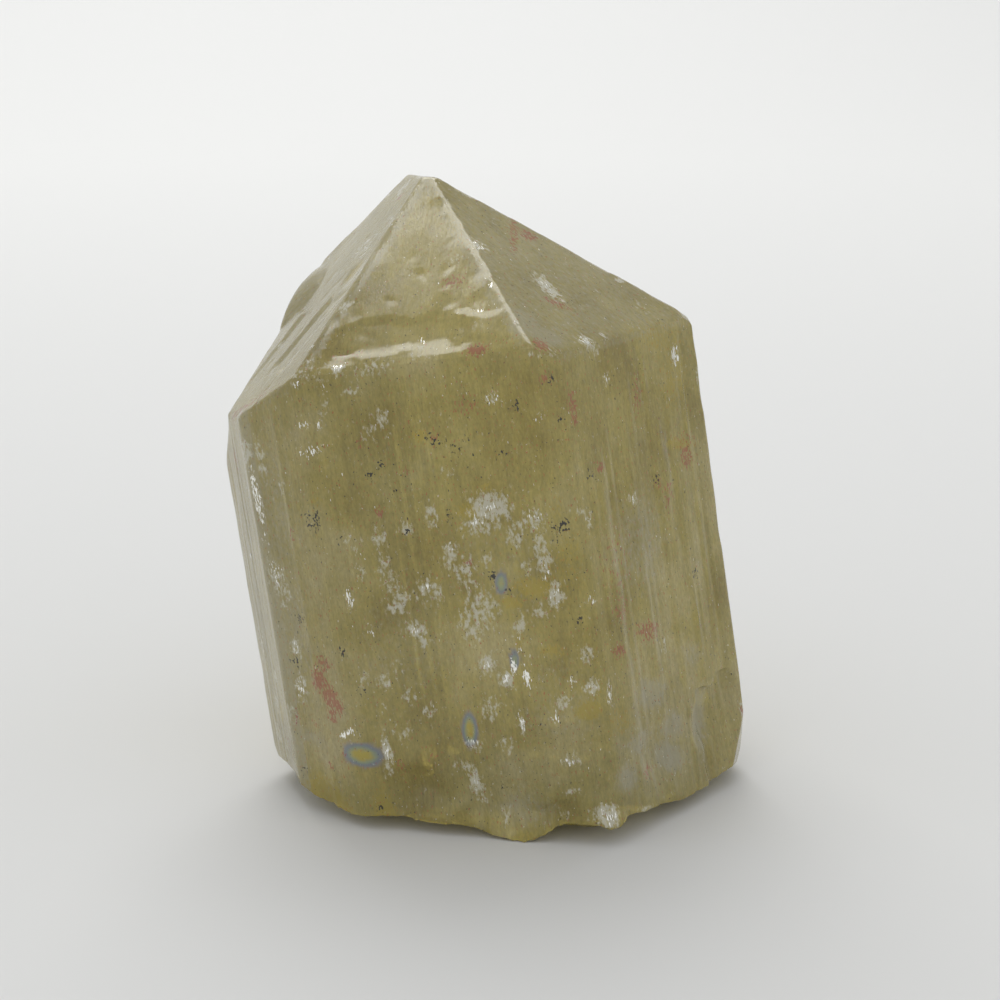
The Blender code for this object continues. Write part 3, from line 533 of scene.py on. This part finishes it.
# The crystal's finish. Sizes are millimetres, across and along the face.
crystalFinish = {
    "deep": "#9a8b42", "middle": "#ada058", "milk": "#c0b480",  # olive stone, its usual shade, its milky parts
    # The glint colour is a painted highlight.
    # The haze colour is partly a painted reflection of the white surround.
    "veil": "#c6c4b6", "hazeAndSheen": "#bfbba4", "paintedGlint": "#fdfdf6", "stain": "#8f3f35", "speck": "#1d1c1a",
    # The gold colour is partly a painted glow of light through the base.
    "goldAndGlow": "#bda944",
    "film": ((0.0, "#9a8fa0"), (0.45, "#7f93a8"), (0.7, "#9fb295"), (1.0, "#cdbb4e")),  # from its rim inwards
    "filmFull": 0.3, "filmCover": 0.8,  # strength of the mark at which a film shows fully, and how much it covers
    "roughness": 0.1, "ior": 1.633, "clearness": 0.42, "markClearness": 0.1,
    "absorbColour": "#efe8a4", "absorbDensity": 28.0,  # density per metre
    "cloudSize": 6.0, "cloudDeep": 0.34, "cloudMilky": 0.7,
    "fibre": (0.3, 2.2, 1.0), "fine": (0.12, 0.32, 1.0),  # the real striations are finer still, under 0.1
    "fibreShade": (0.92, 1.2), "fineShade": (0.84, 1.18),
    "lace": (0.22, 0.42, 1.0), "sliver": (0.09, 0.34, 1.0), "fleck": (0.12, 0.26, 1.0), "pepper": (0.13, 0.2, 1.0),
    # How far a mark lifts its pattern, the level at which it shows, the softness of its edge, how much it covers.
    "hazesAndSheen": (0.8, 0.55, 0.7, 0.6), "goldsAndGlow": (0.5, 0.58, 0.25, 0.7), "veils": (0.3, 0.6, 0.2, 0.75),
    "stains": (0.26, 0.62, 0.08, 0.75), "specks": (0.26, 0.7, 0.05, 0.95), "paintedGlints": (0.26, 0.68, 0.05, 1.0),
    "fineRelief": 0.4, "veilRelief": 0.5, "glintRelief": 1.5, "bump": 0.22, "bumpDepth": 0.05,
}


def crystalCoordinates(tree):
    place = addNode(tree, "ShaderNodeTexCoord")
    foot = Vector((*crystalForm["axisFoot"], 0)) * mm
    turned = crystalPose().to_euler("XYZ")
    return addNode(tree, "ShaderNodeMapping", {"vector_type": "TEXTURE", "Location": foot, "Rotation": turned,
                                               "Scale": (mm, mm, mm)}, {"Vector": place.outputs["Object"]})


# Fluorapatite, grown not polished: glassy but striated along its length, clear with milky clouds.
def fluorapatite():
    finish = crystalFinish
    material = bpy.data.materials.new("olive fluorapatite")
    material.use_nodes = True
    tree = material.node_tree
    shader = tree.nodes["Principled BSDF"]
    output = tree.nodes["Material Output"]
    place = crystalCoordinates(tree)
    facePlace = addNode(tree, "ShaderNodeAttribute", {"attribute_name": "facePlace"})

    def grain(size, detail, offset=0.0):  # noise with grains of that size
        scaled = addNode(tree, "ShaderNodeVectorMath", {"operation": "MULTIPLY_ADD", 1: [1 / v for v in size],
                                                        2: (offset, 0, 0)}, {0: facePlace.outputs["Vector"]})
        return addNode(tree, "ShaderNodeTexNoise", {"Scale": 1.0, "Detail": detail, "Roughness": 0.62},
                       {"Vector": scaled.outputs[0]}).outputs["Fac"]

    def shadeRange(pattern, low, high):
        return addNode(tree, "ShaderNodeMapRange",
                       {"From Min": 0.3, "From Max": 0.7, "To Min": low, "To Max": high},
                       {"Value": pattern}).outputs[0]

    def attribute(name):
        return addNode(tree, "ShaderNodeAttribute", {"attribute_name": name}).outputs["Fac"]

    def spots(kind, pattern):  # the pattern shows where it and the mark together are strong
        reach, level, soft = finish[kind][:3]
        both = addNode(tree, "ShaderNodeMath", {"operation": "MULTIPLY_ADD", 1: reach},
                       {0: attribute(kind), 2: pattern})
        return addNode(tree, "ShaderNodeMapRange",
                       {"interpolation_type": "SMOOTHSTEP", "From Min": level, "From Max": level + soft},
                       {"Value": both.outputs[0]}).outputs[0]

    def layer(below, colour, mask, kind):
        cover = finish[kind][3]
        held = addNode(tree, "ShaderNodeMath", {"operation": "MULTIPLY", 1: cover}, {0: mask})
        return addNode(tree, "ShaderNodeMix", {"data_type": "RGBA", 7: hexToLinear(finish[colour])},
                       {0: held.outputs[0], 6: below}).outputs[2]

    cloud = addNode(tree, "ShaderNodeTexNoise", {"Scale": 1 / finish["cloudSize"], "Detail": 5.0, "Roughness": 0.6},
                    {"Vector": place.outputs[0]})
    ramp = addNode(tree, "ShaderNodeValToRGB", None, {"Fac": cloud.outputs["Fac"]})
    deep, milky = ramp.color_ramp.elements
    deep.position, deep.color = finish["cloudDeep"], hexToLinear(finish["deep"])
    milky.position, milky.color = finish["cloudMilky"], hexToLinear(finish["milk"])
    ramp.color_ramp.elements.new(0.5).color = hexToLinear(finish["middle"])
    fibre = grain(finish["fibre"], 6.0)
    fine = grain(finish["fine"], 4.0, 3.0)
    lace = grain(finish["lace"], 6.0, 7.0)
    sliver = grain(finish["sliver"], 3.0, 11.0)
    fleck = grain(finish["fleck"], 2.0, 17.0)
    pepper = grain(finish["pepper"], 1.0, 23.0)
    shade = addNode(tree, "ShaderNodeMath", {"operation": "MULTIPLY"},
                    {0: shadeRange(fibre, *finish["fibreShade"]), 1: shadeRange(fine, *finish["fineShade"])})
    stone = addNode(tree, "ShaderNodeVectorMath", {"operation": "SCALE"},
                    {0: ramp.outputs["Color"], "Scale": shade.outputs[0]})
    hazeAndSheen, goldAndGlow, veil = spots("hazesAndSheen", lace), spots("goldsAndGlow", fleck), spots("veils", lace)
    stain, speck, paintedGlint = spots("stains", fleck), spots("specks", pepper), spots("paintedGlints", sliver)
    # Milky patches, and painted reflection lightening whole faces that face the white surround.
    colour = layer(stone.outputs[0], "hazeAndSheen", hazeAndSheen, "hazesAndSheen")
    # Yellow patches, and a painted glow of light through the base near the foot.
    colour = layer(colour, "goldAndGlow", goldAndGlow, "goldsAndGlow")
    film = attribute("rainbows")  # a thin film of air in a crack: its colour goes by its depth
    bands = addNode(tree, "ShaderNodeValToRGB", None, {"Fac": film})
    (rimPlace, rim), *between, (middlePlace, middle) = finish["film"]
    first, last = bands.color_ramp.elements
    first.position, first.color = rimPlace, hexToLinear(rim)
    last.position, last.color = middlePlace, hexToLinear(middle)
    for position, code in between:
        bands.color_ramp.elements.new(position).color = hexToLinear(code)
    filmMask = addNode(tree, "ShaderNodeMapRange", {"From Max": finish["filmFull"], "To Max": finish["filmCover"]},
                       {"Value": film})
    colour = addNode(tree, "ShaderNodeMix", {"data_type": "RGBA"},
                     {0: filmMask.outputs[0], 6: colour, 7: bands.outputs["Color"]}).outputs[2]
    colour = layer(colour, "veil", veil, "veils")
    colour = layer(colour, "stain", stain, "stains")
    colour = layer(colour, "speck", speck, "specks")
    # Painted highlight: the glint colour goes on last, and the same mask makes those spots a mirror.
    colour = layer(colour, "paintedGlint", paintedGlint, "paintedGlints")
    tree.links.new(colour, shader.inputs["Base Color"])
    tree.links.new(paintedGlint, shader.inputs["Metallic"])  # an air film in a crack sends back nearly all the light
    relief = fibre
    for mask, rise in ((fine, "fineRelief"), (veil, "veilRelief"), (paintedGlint, "glintRelief")):
        relief = addNode(tree, "ShaderNodeMath", {"operation": "MULTIPLY_ADD", 1: finish[rise]},
                         {0: mask, 2: relief}).outputs[0]
    bump = addNode(tree, "ShaderNodeBump", {"Strength": finish["bump"], "Distance": finish["bumpDepth"] * mm},
                   {"Height": relief})
    tree.links.new(bump.outputs[0], shader.inputs["Normal"])
    shader.inputs["Roughness"].default_value = finish["roughness"]
    shader.inputs["IOR"].default_value = finish["ior"]
    shut = addNode(tree, "ShaderNodeMath", {"operation": "MAXIMUM"}, {0: veil, 1: stain})
    shut = addNode(tree, "ShaderNodeMath", {"operation": "MAXIMUM"}, {0: shut.outputs[0], 1: speck})
    clear = addNode(tree, "ShaderNodeMapRange", {"To Min": finish["clearness"], "To Max": finish["markClearness"]},
                    {"Value": shut.outputs[0]})
    tree.links.new(clear.outputs[0], shader.inputs["Transmission Weight"])
    absorb = addNode(tree, "ShaderNodeVolumeAbsorption", {"Color": hexToLinear(finish["absorbColour"]),
                                                          "Density": finish["absorbDensity"]})
    tree.links.new(absorb.outputs[0], output.inputs["Volume"])
    return material


# Cracks and flakes inside the stone, in millimetres.
flakesInside = {
    "count": 1400, "seed": 6982, "width": (0.12, 0.5), "length": (0.25, 1.6),
    "radius": 14, "heights": (1, 36), "skin": 1.2,  # where they are tried, and how far they stay from the surface
    "bearings": (0, 60, 120, 30, 90), "bearingSpread": 14, "tiltSpread": 9,  # cracks follow the crystal's faces
    "corners": (5, 8), "stagger": 0.3, "ragged": (0.6, 1.2), "bend": 0.05, "middleBend": 0.04,
    "colour": "#e9e6cf", "roughness": 0.3, "ior": 1.5,
}


def makeFlakes(faces):
    look = flakesInside
    rng = random.Random(look["seed"])
    pose = crystalPose()
    foot = Vector((*crystalForm["axisFoot"], 0))
    bm = bmesh.new()
    made = 0
    while made < look["count"]:
        spot = foot + pose @ Vector((rng.uniform(-look["radius"], look["radius"]),
                                     rng.uniform(-look["radius"], look["radius"]), rng.uniform(*look["heights"])))
        slack = min(face["distance"] - spot.dot(face["normal"]) for face in faces.values())
        if slack < look["skin"]:
            continue
        bearing = rng.choice(look["bearings"]) + rng.gauss(0, look["bearingSpread"])
        normal = pose @ direction(bearing, 90 + rng.gauss(0, look["tiltSpread"]))
        side = normal.cross(pose @ Vector((0, 0, 1))).normalized()
        up = side.cross(normal)
        halfWidth = rng.uniform(*look["width"]) / 2
        halfLength = rng.uniform(*look["length"]) / 2
        corners = []
        count = rng.randint(*look["corners"])
        for i in range(count):
            angle = 2 * math.pi * (i + rng.uniform(-look["stagger"], look["stagger"])) / count
            reach = rng.uniform(*look["ragged"])
            bend = rng.uniform(-look["bend"], look["bend"])
            corners.append(bm.verts.new((spot + side * (halfWidth * reach * math.cos(angle))
                                         + up * (halfLength * reach * math.sin(angle)) + normal * bend) * mm))
        middle = bm.verts.new((spot + normal * rng.uniform(-look["middleBend"], look["middleBend"])) * mm)
        for i in range(count):
            bm.faces.new((middle, corners[i], corners[(i + 1) % count]))
        made += 1
    mesh = bpy.data.meshes.new("flakes")
    bm.to_mesh(mesh)
    bm.free()
    flakes = bpy.data.objects.new("inner_flakes", mesh)
    bpy.context.scene.collection.objects.link(flakes)
    return flakes


# A crack in clear stone is a film of air: it sends back most light, so it looks white.
def healedCrack():
    material = bpy.data.materials.new("air film in a crack")
    material.use_nodes = True
    tree = material.node_tree
    shader = tree.nodes["Principled BSDF"]
    shader.inputs["Base Color"].default_value = hexToLinear(flakesInside["colour"])
    shader.inputs["Roughness"].default_value = flakesInside["roughness"]
    shader.inputs["IOR"].default_value = flakesInside["ior"]
    return material


print("stage 1: the crystal's faces")
faces = crystalFaces()
crystal = makeCrystal(faces)
crystal.data.materials.append(fluorapatite())
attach(crystal, "root")
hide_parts("fluorapatite_crystal")
print("crystal", len(crystal.data.polygons), "triangles")

print("stage 2: flakes inside")
flakes = makeFlakes(faces)
flakes.data.materials.append(healedCrack())
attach(flakes, "root")


# Floor, light and camera, in millimetres.
studio = {
    "floorColour": "#dcdcda", "floorRoughness": 0.9, "floorSize": 1200.0,
    "sweepStart": 260.0, "sweepRadius": 240.0, "sweepSteps": 16,  # the card curves up behind the crystal
    "skyColour": "#f2f3f5", "skyStrength": 0.8,
    "lampSize": 420.0, "lampPlace": (-60.0, 330.0, 430.0), "lampTarget": (0.0, 0.0, 15.0), "lampPower": 1.5,
    "cameraPlace": (0.719, -125.458, 51.556), "cameraTarget": (0.719, -1.466, 16.002), "lens": 82.24,
}


def makeFloor():
    look = studio
    profile = [(-look["floorSize"] / 2, 0.0), (look["sweepStart"], 0.0)]
    for i in range(1, look["sweepSteps"] + 1):
        angle = math.radians(90) * i / look["sweepSteps"]
        profile.append((look["sweepStart"] + look["sweepRadius"] * math.sin(angle),
                        look["sweepRadius"] * (1 - math.cos(angle))))
    profile.append((profile[-1][0], look["floorSize"]))
    bm = bmesh.new()
    half = look["floorSize"]
    rows = [[bm.verts.new((x * mm, y * mm, z * mm)) for x in (-half, half)] for y, z in profile]
    for lower, upper in zip(rows, rows[1:]):
        bm.faces.new((lower[0], lower[1], upper[1], upper[0]))
    mesh = bpy.data.meshes.new("floor")
    bm.to_mesh(mesh)
    bm.free()
    mesh.polygons.foreach_set("use_smooth", [True] * len(mesh.polygons))
    floor = bpy.data.objects.new("floor", mesh)
    bpy.context.scene.collection.objects.link(floor)
    material = bpy.data.materials.new("matt white card")
    material.use_nodes = True
    shader = material.node_tree.nodes["Principled BSDF"]
    shader.inputs["Base Color"].default_value = hexToLinear(look["floorColour"])
    shader.inputs["Roughness"].default_value = look["floorRoughness"]
    mesh.materials.append(material)
    return floor


print("stage 3: floor, light and camera")
floor = makeFloor()

world = bpy.data.worlds.new("studio")
bpy.context.scene.world = world
world.use_nodes = True
sky = world.node_tree.nodes["Background"]
sky.inputs["Color"].default_value = hexToLinear(studio["skyColour"])
sky.inputs["Strength"].default_value = studio["skyStrength"]

lampData = bpy.data.lights.new("softbox", "AREA")
lampData.shape = "SQUARE"
lampData.size = studio["lampSize"] * mm
lampData.energy = studio["lampPower"]
lamp = bpy.data.objects.new("softbox", lampData)
lamp.location = Vector(studio["lampPlace"]) * mm
lampAim = Vector(studio["lampTarget"]) - Vector(studio["lampPlace"])
lamp.rotation_euler = lampAim.to_track_quat("-Z", "Y").to_euler()
bpy.context.scene.collection.objects.link(lamp)

cameraData = bpy.data.cameras.new("camera")
cameraData.lens = studio["lens"]
cameraData.clip_start = 0.01
camera = bpy.data.objects.new("camera", cameraData)
camera.location = Vector(studio["cameraPlace"]) * mm
aim = Vector(studio["cameraTarget"]) - Vector(studio["cameraPlace"])
camera.rotation_euler = aim.to_track_quat("-Z", "Y").to_euler()
bpy.context.scene.collection.objects.link(camera)
bpy.context.scene.camera = camera
bpy.context.scene.view_settings.view_transform = "Standard"
